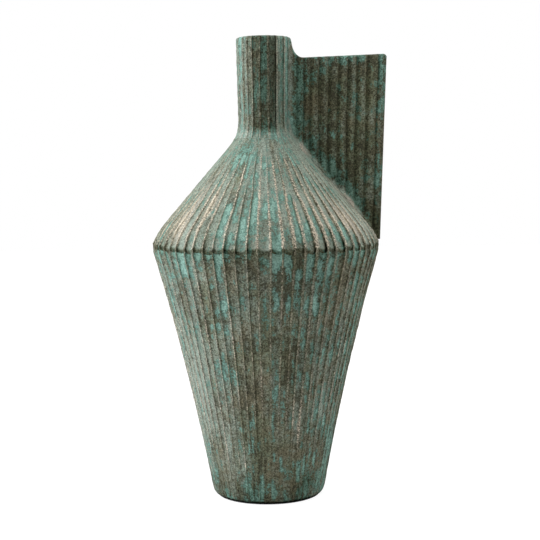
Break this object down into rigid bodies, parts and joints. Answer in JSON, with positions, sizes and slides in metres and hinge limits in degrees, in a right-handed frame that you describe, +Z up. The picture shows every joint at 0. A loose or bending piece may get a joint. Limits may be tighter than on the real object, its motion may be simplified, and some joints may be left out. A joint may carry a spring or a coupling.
{
  "type": "decorative vase",
  "caption": "Tall metal vase with a tapered fluted body, a conical shoulder, a slim open neck and an upright fluted fin beside it, in a verdigris finish.",
  "frame": {"origin": "centre of the underside, on the surface that the vase stands on", "axes": "+Z up along the axis of the round body, +X towards the fin"},
  "size_m": [0.2419, 0.233, 0.47],
  "materials": {
    "verdigris": "matte sandy patina: sea-green in the hollows, grey-brown on the faces, worn tan along the ridges",
    "bare_casting": "darkened as-cast metal",
    "black_felt": "matte felt"
  },
  "bodies": {
    "root": {"felt_disc": "black_felt", "base_plate": "bare_casting", "lower_body": "verdigris", "shoulder": "verdigris", "neck": "verdigris", "fin": "verdigris"}
  },
  "joints": []
}
